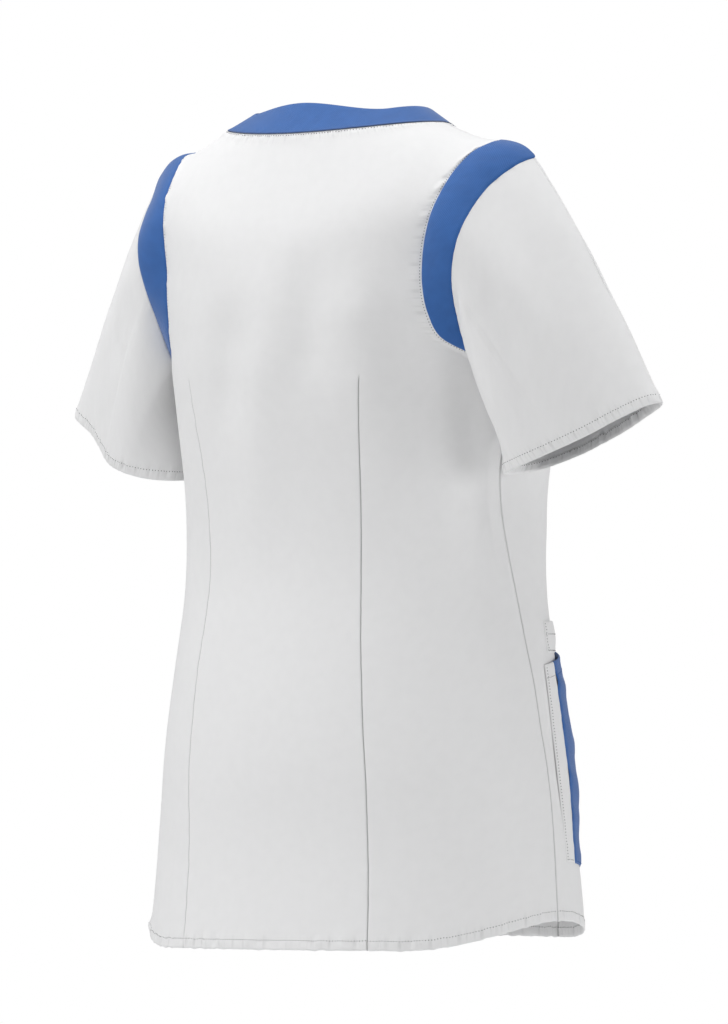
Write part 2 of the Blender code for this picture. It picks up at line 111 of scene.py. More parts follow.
# body form: levels from the hem to the underarm, then the yoke up to the neck
bodyForm = {
    # height, half width, depth behind, depth before, side seam behind the middle
    "lower": [
        (-731.0, 220.5, 144.5, 144.5, 3.0), (-690.0, 216.0, 141.0, 144.0, 0.0),
        (-650.0, 211.5, 139.5, 143.0, -3.0), (-610.0, 207.0, 141.0, 141.0, -5.0),
        (-573.0, 202.5, 144.0, 138.5, -5.0), (-535.0, 197.0, 143.5, 136.5, -2.0),
        (-497.0, 192.0, 140.0, 133.0, 1.0), (-459.0, 185.5, 135.5, 127.0, 5.0),
        (-421.0, 180.5, 129.5, 124.0, 10.0), (-383.0, 178.5, 127.5, 125.5, 18.0),
        (-345.0, 178.0, 130.5, 131.0, 25.0), (-307.0, 179.0, 136.0, 139.5, 27.0),
        (-269.0, 182.0, 144.0, 149.0, 20.0)],
    # armhole x, y, height, back height, back y, front height, front y, middle
    "yoke": [
        (185.0, 9.0, -229.0, -229.0, 150.5, -229.0, 153.5, 0.0),
        (183.0, 28.0, -225.0, -225.5, 151.0, -225.0, 153.5, 0.0),
        (178.0, 46.0, -218.0, -219.0, 151.6, -218.0, 153.0, 0.0),
        (169.5, 64.0, -208.0, -210.5, 152.4, -209.5, 152.2, 0.0),
        (155.3, 86.3, -194.0, -197.0, 153.0, -196.0, 150.5, 0.0),
        (149.0, 96.0, -173.0, -178.0, 153.2, -180.0, 147.0, 0.0),
        (147.0, 100.5, -152.0, -158.0, 152.6, -164.0, 142.0, 0.0),
        (146.8, 100.8, -130.0, -140.0, 151.0, -148.0, 135.0, 2.0),
        (149.5, 100.5, -109.0, -125.0, 148.8, -134.0, 126.5, 6.0),
        (154.0, 97.5, -87.0, -112.0, 146.3, -120.0, 116.0, 12.0),
        (159.0, 89.0, -67.0, -101.0, 143.6, -108.0, 104.5, 17.0),
        (163.0, 75.0, -48.0, -93.0, 141.2, -97.0, 92.0, 20.0),
        (168.5, 56.0, -31.5, -87.0, 139.2, -88.0, 80.0, 21.0),
        (175.5, 40.0, -23.5, -83.0, 137.8, -81.0, 71.0, 25.0),
        (172.5, 26.0, -21.0, -79.0, 136.4, -75.0, 63.5, 26.0),
        (152.0, 29.0, -17.0, -56.5, 129.0, -58.5, 57.0, 29.0),
        (132.5, 32.0, -10.0, -33.5, 120.8, -42.5, 51.0, 32.0),
        (113.5, 34.0, -2.5, -12.0, 112.0, -28.0, 44.0, 34.0)],
    "tip": 14, "vRow": 5, "crescent": 3,
    "scoop": [0.0, 2.0, 3.0, 4.0, 3.0, 1.0, 0.0, -1.0, -1.5, -1.0, 0.0, 1.0, 1.0, 0.0, 0.0],
    "hemSideRise": 26.0, "hemFrontRise": 9.0, "hemStart": math.radians(38.0), "hemReach": 150.0,
    # yoke row and half width of the V opening
    "neckV": [(5.0, 0.0), (7.0, 22.0), (9.0, 39.5), (11.0, 53.5), (13.0, 66.0), (15.0, 80.0),
              (16.4, 92.0), (17.0, 101.0), (17.0, 108.0), (17.0, 112.0), (17.0, 113.5)],
    # height and angle from the centre back of the long dart, and the same on the front
    "backDart": [(-731.0, 28.6), (-629.0, 29.2), (-575.0, 30.2), (-494.0, 29.7), (-392.0, 28.8),
                 (-300.0, 30.2), (-229.0, 32.0)],
    "frontDart": [(-731.0, 145.5), (-629.0, 144.5), (-494.0, 145.0), (-392.0, 146.0),
                  (-300.0, 145.0), (-229.0, 143.0)],
}
yokeStart = bodyForm["yoke"][0]
bodyForm["lower"].append((yokeStart[3], yokeStart[0] / math.sqrt(1 - (yokeStart[1] / yokeStart[4]) ** 2),
                          yokeStart[4], yokeStart[6], yokeStart[1]))
underarm = len(bodyForm["lower"]) - 1
tip = underarm + bodyForm["tip"]
neck = underarm + len(bodyForm["yoke"]) - 1
hemZ = bodyForm["lower"][0][0]


@functools.lru_cache(maxsize=None)
def levelAt(place):  # half width, middle, back, front, back z, side z, front z, side angle
    if place <= underarm:
        z, half, back, front, sideY = readTable(bodyForm["lower"], place)
        return half, 0.0, back, front, z, z, z, math.acos(sideY / (back if sideY > 0 else front))
    edgeX, edgeY, edgeZ, backZ, backY, frontZ, frontY, middle = readTable(bodyForm["yoke"], place - underarm)
    cosine = (edgeY - middle) / (backY - middle)
    sine = math.sqrt(1 - cosine * cosine)
    return (edgeX / sine, middle, backY - middle, frontY + middle, backZ,
            backZ + (edgeZ - backZ) / (sine * sine), frontZ, math.atan2(sine, cosine))


def hemRise(angle):
    side = math.pi / 2
    reach = side - bodyForm["hemStart"]
    if angle <= side:
        return bodyForm["hemSideRise"] * ease((angle - bodyForm["hemStart"]) / reach)
    return mix(bodyForm["hemSideRise"], bodyForm["hemFrontRise"], ease((angle - side) / reach))


def bodyPoint(angle, place):  # wearer's left
    half, middle, back, front, backZ, sideZ, frontZ, _ = levelAt(place)
    sine, cosine = math.sin(angle), math.cos(angle)
    endZ = backZ if cosine > 0 else frontZ
    z = endZ + (sideZ - endZ) * sine * sine
    if z < hemZ + bodyForm["hemReach"]:
        z += hemRise(angle) * (1 - (z - hemZ) / bodyForm["hemReach"])
    return Vector((half * sine, middle + (back if cosine > 0 else front) * cosine, z))


def frontAngle(row):  # front armhole, as an angle from the centre back
    half, _, _, _, _, _, _, edge = levelAt(underarm + row)
    scoop = readTable([(value,) for value in bodyForm["scoop"]], row)[0]
    side = math.asin(min(math.sin(edge) - scoop / half, 1.0))
    if row < 2:
        return mix(levelAt(underarm)[7], math.pi - side, math.sin(math.pi / 4 * row))
    if row > bodyForm["tip"] - 1:
        return mix(math.pi - side, math.pi / 2, ease(row - bodyForm["tip"] + 1))
    return math.pi - side


def neckV(share):  # the V edge, from its point up to the shoulder
    row, width = readTable(bodyForm["neckV"], share * (len(bodyForm["neckV"]) - 1))
    place = min(underarm + row, neck)
    return math.pi - math.asin(min(max(width, 0.0) / levelAt(place)[0], 1.0)), place


def dartShare(z, table, start, end):  # share of the way from start to end where the dart runs
    heights = [row[0] for row in table]
    angle = math.radians(np.interp(z, heights, [row[1] for row in table]))
    return (angle - start) / (end - start)


# grids of points
def arcs(points):  # length along each row, and up each column
    across = np.linalg.norm(np.diff(points, axis=1), axis=2)
    up = np.linalg.norm(np.diff(points, axis=0), axis=2)
    rows, columns = points.shape[:2]
    return (np.hstack([np.zeros((rows, 1)), np.cumsum(across, axis=1)]),
            np.vstack([np.zeros((1, columns)), np.cumsum(up, axis=0)]))


def outwards(points, centre, wrap=False):  # unit normals that face away from the centre
    if wrap:
        padded = np.concatenate([points[:, -1:], points, points[:, :1]], axis=1)
        across = padded[:, 2:] - padded[:, :-2]
    else:
        across = np.gradient(points, axis=1)
    normals = np.cross(across, np.gradient(points, axis=0))
    normals /= np.maximum(np.linalg.norm(normals, axis=2, keepdims=True), 1e-9)
    side = np.sign(np.sum(normals * (points - centre), axis=2).mean())
    return normals * side


def waves(across, up, size, pitch, seed):  # low uneven waves over a whole sheet
    flat = [noise.noise(Vector((a / pitch, b / pitch, seed))) for a, b in zip(across.flat, up.flat)]
    return size * np.array(flat).reshape(across.shape)


def puckers(along, away, size, pitch, reach, seed):  # short ripples square to a stitch line
    near = away < reach * 2.2
    out = np.zeros(along.shape)
    flat = [noise.noise(Vector(((a + 0.3 * d) / pitch, d / (reach * 5), seed)))
            + 0.5 * noise.noise(Vector((a / pitch * 1.9, d / (reach * 3), seed + 7.7)))
            for a, d in zip(along[near], away[near])]
    out[near] = size * np.array(flat) * bell(away[near], reach)
    return out


def folds(across, up, table, seed):  # creases given one by one, each an uneven trough or ridge
    total = np.zeros(across.shape)
    for number, (path, width, height, lean) in enumerate(table):
        path = np.array(path, float)
        lengths = np.linalg.norm(np.diff(path, axis=0), axis=1)
        reach = lengths.sum()
        best = np.full(across.shape, 1e9)
        side = np.zeros(across.shape)
        place = np.zeros(across.shape)
        before = 0.0
        for a, b, length in zip(path, path[1:], lengths):
            way = (b - a) / length
            t = np.clip((across - a[0]) * way[0] + (up - a[1]) * way[1], 0, length)
            dx = across - a[0] - t * way[0]
            dy = up - a[1] - t * way[1]
            away = np.hypot(dx, dy)
            nearer = away < best
            best = np.where(nearer, away, best)
            side = np.where(nearer, np.sign(way[0] * dy - way[1] * dx), side)
            place = np.where(nearer, (before + t) / reach, place)
            before += length
        spread = width * np.where(side > 0, lean, 1.0)
        fade = easeAll(place / 0.38) * easeAll((1 - place) / 0.38)
        uneven = np.array([1 + 0.35 * noise.noise(Vector((p * 4, number * 3.1, seed)))
                           for p in place.flat]).reshape(place.shape)
        total += height * uneven * fade * bell(best, spread)
    return total


def tucked(away):  # how far an edge lies beneath its neighbour
    return np.interp(away, [row[0] for row in cloth["tuck"]], [row[1] for row in cloth["tuck"]])


def makePatch(points, centre, relief, seamAway, hemAway, wrap=False, drop=cloth["lipDrop"],
              shade=0.0, along=0.0, ripple=0.0, lip=0.0):
    # lifts the points by the relief, and turns their seam and hem edges in
    normals = outwards(points, centre, wrap)
    seamAway = np.broadcast_to(seamAway, points.shape[:2])
    hemAway = np.broadcast_to(hemAway, points.shape[:2])
    lift = relief - drop * bell(seamAway, cloth["lipReach"])
    lift = lift - cloth["foldIn"] * cloth["thick"] * bell(hemAway, cloth["foldReach"])
    weights = 1 - (1 - cloth["single"]) * easeAll((hemAway - cloth["hemWide"]) / cloth["foldEnd"])
    weights = mix(cloth["lip"], weights, easeAll(seamAway / cloth["seamTurn"]))
    weights = mix(cloth["foldLip"], weights, easeAll(hemAway / cloth["foldTurn"]))
    normals[np.abs(points[:, :, 0]) < 1e-6, 0] = 0  # both halves meet in the middle plane
    raised = points + normals * lift[:, :, None]
    across, up = arcs(points)
    # marks read by the material: painted shade, place along a stitch line, pucker strength, painted highlight
    # on a lip
    marks = {"shade": shade, "along": along, "ripple": ripple, "lip": lip}
    return {"points": raised, "normals": outwards(raised, centre, wrap), "weights": weights,
            "across": across, "up": up, "wrap": wrap,
            "marks": {name: np.broadcast_to(values, points.shape[:2]) for name, values in marks.items()}}


def buildSheet(name, patches, material, node):
    mesh = bpy.data.meshes.new(name)
    work = bmesh.new()
    uvs = work.loops.layers.uv.new("cloth")
    layers = work.verts.layers.deform.verify()
    marks = {mark: work.verts.layers.float.new(mark) for mark in patches[0]["marks"]}
    for patch in patches:
        points, weights = patch["points"] * mm, patch["weights"]
        rows, columns = points.shape[:2]
        around = columns if patch["wrap"] else columns - 1
        r, c = rows // 2, columns // 2
        test = np.cross(points[r, c + 1] - points[r, c], points[r + 1, c] - points[r, c])
        turned = np.dot(test, patch["normals"][r, c]) < 0
        across, up = patch["across"], patch["up"]
        if patch["wrap"]:
            close = np.linalg.norm(points[:, 0] - points[:, -1], axis=1)[:, None] / mm
            across = np.hstack([across, across[:, -1:] + close])
            up = np.hstack([up, up[:, :1]])
        side = -1 if points[:, :, 0].mean() < 0 else 1
        verts = []
        for r in range(rows):
            line = []
            for c in range(columns):
                vert = work.verts.new(points[r, c])
                vert[layers][0] = float(weights[r, c])
                for mark, layer in marks.items():
                    vert[layer] = float(patch["marks"][mark][r, c])
                line.append(vert)
            verts.append(line)
        for r in range(rows - 1):
            for c in range(around):
                d = (c + 1) % columns
                corners = [(r, c, c), (r, d, c + 1), (r + 1, d, c + 1), (r + 1, c, c)]
                if turned:
                    corners.reverse()
                face = work.faces.new([verts[i][j] for i, j, _ in corners])
                face.smooth = True
                for loop, (i, _, k) in zip(face.loops, corners):
                    loop[uvs].uv = (side * across[i, k] * mm, up[i, k] * mm)
    middle = [vert for vert in work.verts if abs(vert.co.x) < 1e-7]
    bmesh.ops.remove_doubles(work, verts=middle, dist=1e-6)
    work.to_mesh(mesh)
    work.free()
    sheet = bpy.data.objects.new(name, mesh)
    scene.collection.objects.link(sheet)
    sheet.vertex_groups.new(name="layers")
    mesh.materials.append(material)
    wall = sheet.modifiers.new("wall", "SOLIDIFY")
    wall.thickness = cloth["thick"] * mm
    wall.offset = -1
    wall.vertex_group = "layers"
    bpy.ops.object.select_all(action="DESELECT")
    bpy.context.view_layer.objects.active = sheet
    sheet.select_set(True)
    bpy.ops.object.modifier_apply(modifier=wall.name)
    bpy.ops.object.shade_smooth_by_angle(angle=cloth["smooth"])
    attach(sheet, "root")
    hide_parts(node)
    print(name, len(sheet.data.polygons), "faces")
    return sheet


# stitches: one is modelled, then copied along each line
stitch = {"long": 1.0, "thick": 1.0, "pitch": 2.7, "sunk": 0.03}


def stitchShape():
    bpy.ops.object.select_all(action="DESELECT")
    bpy.ops.mesh.primitive_uv_sphere_add(segments=6, ring_count=3, radius=1.0)
    one = bpy.context.active_object
    bpy.ops.object.mode_set(mode="EDIT")
    bpy.ops.mesh.select_all(action="SELECT")
    bpy.ops.transform.rotate(value=math.radians(90), orient_axis="Y", center_override=(0, 0, 0))
    bpy.ops.transform.resize(value=(stitch["long"] / 2, stitch["thick"] / 2, stitch["thick"] / 3))
    bpy.ops.object.mode_set(mode="OBJECT")
    verts = np.array([vert.co[:] for vert in one.data.vertices])
    faces = [list(face.vertices) for face in one.data.polygons]
    bpy.data.objects.remove(one)
    return verts, faces


stitchVerts, stitchFaces = stitchShape()


def seamLine(patch, edge, away, first=None, last=None):  # a line beside one edge of a patch
    points, normals = patch["points"], patch["normals"]
    if edge in ("start", "end"):
        lengths = patch["across"]
    else:
        lengths = patch["up"].T
        points, normals = points.transpose(1, 0, 2), normals.transpose(1, 0, 2)
    line, facing = [], []
    for run, along, normal in list(zip(lengths, points, normals))[first:last]:
        at = away if edge in ("start", "bottom") else run[-1] - away
        line.append([np.interp(at, run, along[:, k]) for k in range(3)])
        facing.append([np.interp(at, run, normal[:, k]) for k in range(3)])
    return np.array(line), np.array(facing)


def lengthsAlong(line):
    steps = np.linalg.norm(np.diff(line, axis=0), axis=1)
    return np.concatenate([[0], np.cumsum(steps)])


def readLine(line, run, at):  # points at lengths along a line
    return np.stack([np.interp(at, run, line[:, k]) for k in range(3)], axis=1)


def stitchRun(line, facing, pitch):
    run = lengthsAlong(line)
    count = int((run[-1] - pitch * 0.6) / pitch)
    spots = (np.arange(count) + 0.7) * pitch
    ways = readLine(line, run, spots + 0.4) - readLine(line, run, spots - 0.4)
    return list(zip(readLine(line, run, spots), ways, readLine(facing, run, spots)))


def buildStitches(name, lines, material, pitch=stitch["pitch"]):
    verts, faces = [], []
    for line, facing in lines:
        for spot, way, normal in stitchRun(line, facing, pitch):
            way = way / np.linalg.norm(way)
            normal = normal - way * np.dot(way, normal)
            normal /= np.linalg.norm(normal)
            turn = np.stack([way, np.cross(normal, way), normal])
            start = len(verts) * len(stitchVerts)
            verts.append((stitchVerts @ turn + spot - normal * stitch["sunk"]) * mm)
            faces += [[start + k for k in face] for face in stitchFaces]
    mesh = bpy.data.meshes.new(name)
    mesh.from_pydata(np.concatenate(verts).tolist(), [], faces)
    mesh.polygons.foreach_set("use_smooth", [True] * len(faces))
    mesh.update()
    thread = bpy.data.objects.new(name, mesh)
    scene.collection.objects.link(thread)
    mesh.materials.append(material)
    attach(thread, "root")
    print(name, len(verts), "stitches")
    return thread


# materials
# line is the tone of painted shade, gatherDark the strength of painted shade in pucker creases, lip the tone of
# a painted highlight
clothLook = {"roughness": 0.85, "sheen": 0.15, "turn": 0.0, "pitch": 0.5, "bump": 0.35, "dark": 0.95,
             "line": 0.22, "gather": 0.21, "gatherDeep": 13.0, "gatherDark": 0.15, "lip": 1.22}
threadLook = {**clothLook, "roughness": 0.7, "sheen": 0.0, "pitch": 0.3, "bump": 0.2, "dark": 0.9,
              "line": 1.0}


def makeCloth(name, colour, look):
    material = bpy.data.materials.new(name)
    material.use_nodes = True
    nodes, links = material.node_tree.nodes, material.node_tree.links

    def fill(node, inputs):  # each input is a value or another node's output
        for key, value in inputs.items():
            if isinstance(value, bpy.types.NodeSocket):
                links.new(value, node.inputs[key])
            else:
                node.inputs[key].default_value = value

    def add(kind, out, inputs, **choices):
        node = nodes.new("ShaderNode" + kind)
        for choice, value in choices.items():
            setattr(node, choice, value)
        fill(node, inputs)
        return node.outputs[out]

    def tone(share):
        return [min(part * share, 1.0) for part in colour] + [1]

    def mark(called):
        return add("Attribute", "Fac", {}, attribute_name=called)

    place = add("Mapping", "Vector", {"Vector": add("UVMap", "UV", {}, uv_map="cloth"),
                                      "Scale": (1000, 1000, 1000), "Rotation": (0, 0, look["turn"])})
    thread = {"Vector": place, "Scale": 2 * math.pi / 20 / look["pitch"], "Distortion": 0.4,
              "Detail Scale": 0.3}
    threads = [add("TexWave", "Fac", thread, bands_direction=way) for way in ("X", "Y")]
    weave = add("Math", "Value", {0: threads[0], 1: threads[1]}, operation="MULTIPLY")
    soft = add("TexNoise", "Fac", {"Vector": place, "Scale": 0.09, "Detail": 3})
    gathers = add("TexNoise", "Fac", {"W": mark("along"), "Scale": look["gather"], "Detail": 1.5},
                  noise_dimensions="1D")
    ripple = mark("ripple")

    # height of the weave, the soft unevenness and the puckers
    height = add("Math", "Value", {0: soft, 1: 2.2, 2: weave}, operation="MULTIPLY_ADD")
    puckered = add("Math", "Value", {0: gathers, 1: ripple}, operation="MULTIPLY")
    height = add("Math", "Value", {0: puckered, 1: look["gatherDeep"], 2: height}, operation="MULTIPLY_ADD")
    bump = add("Bump", "Normal", {"Strength": look["bump"], "Distance": 0.0002, "Height": height})

    # colour, with painted shade in seam lines, darts and pucker creases, and a painted highlight on a lip
    lighter = add("Math", "Value", {0: weave, 1: 0.55, 2: soft}, operation="MULTIPLY_ADD", use_clamp=True)
    paint = add("Mix", "Result", {"Factor": lighter, "A": tone(look["dark"]), "B": tone(1)}, data_type="RGBA")
    # painted shade: the troughs of the pucker noise are darkened where the ripple mark is set
    creases = add("MapRange", "Result", {"Value": gathers, "From Min": 0.48, "From Max": 0.30})
    dim = add("Math", "Value", {0: creases, 1: ripple}, operation="MULTIPLY")
    darker = add("Math", "Value", {0: dim, 1: look["gatherDark"], 2: mark("shade")},
                 operation="MULTIPLY_ADD", use_clamp=True)
    # painted shade: mixed towards the darker line tone by the crease shade and the shade mark
    paint = add("Mix", "Result", {"Factor": darker, "A": paint, "B": tone(look["line"])}, data_type="RGBA")
    # painted highlight: a lip is mixed towards a lighter tone
    paint = add("Mix", "Result", {"Factor": mark("lip"), "A": paint, "B": tone(look["lip"])},
                data_type="RGBA")
    fill(nodes["Principled BSDF"], {"Base Color": paint, "Normal": bump, "Roughness": look["roughness"],
                                    "Specular IOR Level": 0.3, "Sheen Weight": look["sheen"],
                                    "Sheen Roughness": 0.45})
    return material


whiteCloth = makeCloth("whiteCloth", (0.80, 0.80, 0.803), clothLook)
blueLook = {**clothLook, "roughness": 0.7, "sheen": 0.28, "turn": 0.7, "pitch": 1.1, "bump": 0.6,
            "dark": 0.72}
blueCloth = makeCloth("blueCloth", (0.030, 0.124, 0.39), blueLook)
# the thread is white; the dark grey is painted shade of the stitches sunk into the cloth
paintedShadeThread = makeCloth("paintedShadeThread", (0.10, 0.10, 0.105), threadLook)
blueThread = makeCloth("blueThread", (0.035, 0.10, 0.27), threadLook)
print("materials done")


# back and front panels
bodyGrid = {
    "hemRows": [0, 0.25, 0.7, 1.5, 3.2, 5.4, 7.2, 8.0, 8.6, 9.3, 10.3, 13.0],
    "rowStep": 4.2,
    "seamRows": [4.2, 2.9, 2.1, 1.2, 0.55],
    "innerWide": 92.0, "outerWide": 175.0, "innerColumns": 27, "outerColumns": 48,
    "dartColumns": [3.0, 1.6, 0.8, 0.35, 0.12],
    "edgeColumns": [6.2, 4.2, 2.9, 2.1, 1.3, 0.6],
    "mmPerDegree": 2.9,
}


def lowerPlaces():
    first = bodyForm["lower"][1][0] - hemZ
    places = [d / first for d in bodyGrid["hemRows"]]
    for number in range(underarm):
        high = bodyForm["lower"][number + 1][0] - bodyForm["lower"][number][0]
        count = math.ceil(high / bodyGrid["rowStep"])
        places += [number + k / count for k in range(count)
                   if (number + k / count) * first > bodyGrid["hemRows"][-1] + 2.5]
    return places


def columnPlaces(start):
    inner, outer = bodyGrid["innerWide"], bodyGrid["outerWide"]
    near = [d / inner for d in bodyGrid["edgeColumns"]][::-1] if start else []
    places = [0.0] + near
    places += [k / bodyGrid["innerColumns"] for k in range(1, bodyGrid["innerColumns"])]
    last = near[-1] if near else 0
    places = [p for p in places if (p <= last or p > last + 1.5 / inner) and p < 1 - 4 / inner]
    places += [1 - d / inner for d in bodyGrid["dartColumns"]] + [1.0]
    places += [1 + d / outer for d in bodyGrid["dartColumns"][::-1]]
    places += [p for p in (1 + k / bodyGrid["outerColumns"] for k in range(1, bodyGrid["outerColumns"]))
               if 1 + 4 / outer < p < 2 - 8 / outer]
    places += [2 - d / outer for d in bodyGrid["edgeColumns"]] + [2 - cloth["seam"] / outer]
    return places


def halfPanel(rows, columns):  # rows: start angle and place, end angle and place, share at the dart
    points, turns = [], []
    for start, startPlace, end, endPlace, dart, openEdge in rows:
        line, turn = [], []
        for column in columns:
            share = column * dart if column < 1 else dart + (column - 1) * (1 - dart)
            if column == 0 and openEdge:
                share = cloth["seam"] / 230.0
            angle = mix(start, end, share)
            line.append(bodyPoint(angle, mix(startPlace, endPlace, share)))
            turn.append(math.degrees(angle))
        points.append(line)
        turns.append(turn)
    return np.array(points), np.array(turns)


def yokeSteps(last, middle):  # rows of the yoke, close enough at the armhole and in the middle
    steps = []
    for number in range(last):
        a, b = bodyForm["yoke"][number], bodyForm["yoke"][number + 1]
        high = max(math.dist(a[:3], b[:3]), math.hypot(b[middle] - a[middle], b[middle + 1] - a[middle + 1]))
        count = math.ceil(high / bodyGrid["rowStep"])
        steps += [number + k / count for k in range(count)]
    return steps


def backRows():
    rows = []
    places = lowerPlaces() + [underarm + row for row in yokeSteps(len(bodyForm["yoke"]) - 1, 3)]
    lastStep = 22.0
    places = [p for p in places if p < neck - 6.5 / lastStep]
    places += [neck - d / lastStep for d in bodyGrid["seamRows"] + [cloth["seam"]]]
    for place in places:
        end = levelAt(place)[7] if place <= tip else math.pi / 2
        share = dartShare(levelAt(place)[4], bodyForm["backDart"], 0.0, end)
        rows.append((0.0, place, end, place, share, False))
    return rows


def frontRows():
    rows = []
    for place in lowerPlaces():
        end = levelAt(place)[7]
        share = dartShare(levelAt(place)[6], bodyForm["frontDart"], math.pi, end)
        rows.append((math.pi, place, end, place, share, False))
    top = rows[-1][4]
    tipRow, lastStep = bodyForm["tip"], 14.0
    steps = [row for row in yokeSteps(tipRow, 5) if row < tipRow - 6.0 / lastStep]
    steps += [tipRow - d / lastStep for d in bodyGrid["seamRows"] + [cloth["seam"]]]
    for row in steps:
        place = underarm + row
        start, startPlace = math.pi, place
        if row > bodyForm["vRow"]:
            start, startPlace = neckV((row - bodyForm["vRow"]) / (tipRow - bodyForm["vRow"]))
        share = mix(top, 0.4, ease(row / 6))
        rows.append((start, startPlace, frontAngle(row), place, share, row > bodyForm["vRow"]))
    return rows


def evenOut(points, hold, passes):  # softens the change of form from row to row of the tables
    for _ in range(passes):
        points[1:-1] += ((points[:-2] + points[2:]) / 2 - points[1:-1]) * 0.5 * hold[1:-1, :, None]


def byDegrees(table):
    return [([(turn * bodyGrid["mmPerDegree"], z) for turn, z in path], width, height, lean)
            for path, width, height, lean in table]


panelFinish = {
    # strips beside the edges that are kept from evening out
    "holdWide": 12, "hemHold": 14, "topHold": 3, "sideHold": 1, "sideWide": 45, "vHold": 2,
    "shoulder": 0.5, "shoulderReach": 2.6, "vRound": 1.2, "hemCalm": 0.45, "hemCalmUp": 30, "seamCalm": 3,
    "hemPucker": 1.7, "neckPucker": 0.8, "sidePucker": 0.5, "sidePitch": 1.4,
    "dartPucker": 0.35, "dartPitch": 1.3, "dartFade": 6, "puckerIn": 4,
    # sideDark is the strength of painted shade along the side seam
    "scallopPitch": 6.5, "scallopUp": 6, "sideDark": 0.35,
}


def dressPanel(rows, columns, side, settings, front=False):
    points, turns = halfPanel(rows, columns)
    across, up = arcs(points)
    finish, wide = panelFinish, panelFinish["holdWide"]
    hold = easeAll((up - finish["hemHold"]) / wide) * easeAll((up[-1:] - up - finish["topHold"]) / wide)
    hold *= easeAll((across[:, -1:] - across - finish["sideHold"]) / finish["sideWide"])
    places = np.array([row[3] for row in rows])[:, None]
    if front:
        hold *= easeAll((across - finish["vHold"]) / wide)
    evenOut(points, hold, settings["passes"])
    atShoulder = bell(places - tip + finish["shoulder"], finish["shoulderReach"])
    evenOut(points, hold * atShoulder, settings["shoulderPasses"])
    across, up = arcs(points)
    heights = points[:, :, 2].copy()
    turns = side * (180 - turns if front else turns) * bodyGrid["mmPerDegree"]
    sideAway = across[:, -1:] - across
    topAway = up[-1:] - up
    startAway = np.full(across.shape, 99.0)
    if front:
        pointZ = bodyPoint(math.pi, underarm + bodyForm["vRow"]).z
        startAway = np.hypot(across, np.maximum(0, pointZ - heights) * finish["vRound"])
    seamAway = np.minimum(np.minimum(sideAway, topAway), startAway)
    relief = folds(turns, heights, byDegrees(settings["folds"]), settings["seed"])
    relief += waves(turns, heights, *settings["waves"], settings["seed"])
    hemCalm = mix(finish["hemCalm"], 1.0, easeAll(up / finish["hemCalmUp"]))
    relief *= easeAll(seamAway / settings["calm"]) * hemCalm
    size, pitch, reach = settings["puckers"]
    ripple = finish["hemPucker"] * puckers(turns, fromStitch(up), size, pitch, reach, settings["seed"] + 1)
    armhole = easeAll((places - underarm - 1.5) / 2) * easeAll((tip + 1.0 - places) / 1.5)
    ripple += armhole * puckers(heights, np.abs(sideAway - finish["puckerIn"]), size, pitch, reach,
                                settings["seed"] + 2)
    neckAway = startAway if front else topAway
    ripple += puckers(turns, np.abs(neckAway - finish["puckerIn"]), size * finish["neckPucker"], pitch, reach,
                      settings["seed"] + 3)
    ripple += finish["sidePucker"] * puckers(heights, sideAway, size, pitch * finish["sidePitch"], reach,
                                             settings["seed"] + 4) * (1 - armhole)
    dartAway = np.abs(across - across[:, columns.index(1.0)][:, None])
    dartFade = easeAll((settings["dartTop"] - heights) / finish["dartFade"])
    ripple += finish["dartPucker"] * puckers(heights, dartAway, size, pitch * finish["dartPitch"], reach,
                                             settings["seed"] + 5) * dartFade
    relief += ripple * easeAll(seamAway / finish["seamCalm"])
    hemRipple = hemGather(up)
    armRipple = armhole * bell(sideAway - 6.0, 4.5)
    neckRipple = 0.8 * bell(neckAway - 4.5, 4.0)
    # painted highlight: mask of the turned lip beside the armhole and the neck
    lip = np.maximum(armhole * bell(sideAway, 1.0), bell(neckAway - 1.0, 0.8))
    along = np.where(armRipple > np.maximum(hemRipple, neckRipple), heights, turns)
    relief -= settings["dartDeep"] * bell(dartAway, 0.5) * dartFade
    # painted shade in the dart's crease and along the seam at the side edge, away from the armhole
    shade = bell(dartAway, 0.45) * dartFade * settings["dartDark"]
    shade = np.maximum(shade, bell(sideAway, 0.6) * (1 - armhole) * finish["sideDark"])
    scallop = [noise.noise(Vector((turn / finish["scallopPitch"], 0.0, settings["seed"] + 9)))
               for turn in turns.flat]
    points[:, :, 2] += cloth["scallop"] * np.array(scallop).reshape(turns.shape) * bell(up, finish["scallopUp"])
    points[:, :, 0] *= side
    centre = points * (0, 0, 1) + (0, 15, 0)
    drop = mix(cloth["lipDrop"], cloth["tuckDrop"], armhole)
    return makePatch(points, centre, relief, seamAway, up, drop=drop, shade=shade, along=along, lip=lip,
                     ripple=np.maximum(np.maximum(hemRipple, armRipple), neckRipple))


def measure(name, patches):
    area = 0.0
    for patch in patches:
        p = patch["points"]
        if patch["wrap"]:
            p = np.concatenate([p, p[:, :1]], axis=1)
        for a, b, c in ((p[:-1, :-1], p[:-1, 1:], p[1:, 1:]), (p[:-1, :-1], p[1:, 1:], p[1:, :-1])):
            area += np.linalg.norm(np.cross(b - a, c - a), axis=2).sum() / 2
    wide = sum(patch["across"].max() for patch in patches)
    high = max(patch["up"].max() for patch in patches)
    print(name, "flat", round(wide / 1000, 3), round(high / 1000, 3), "area", round(area / 1e6, 4))


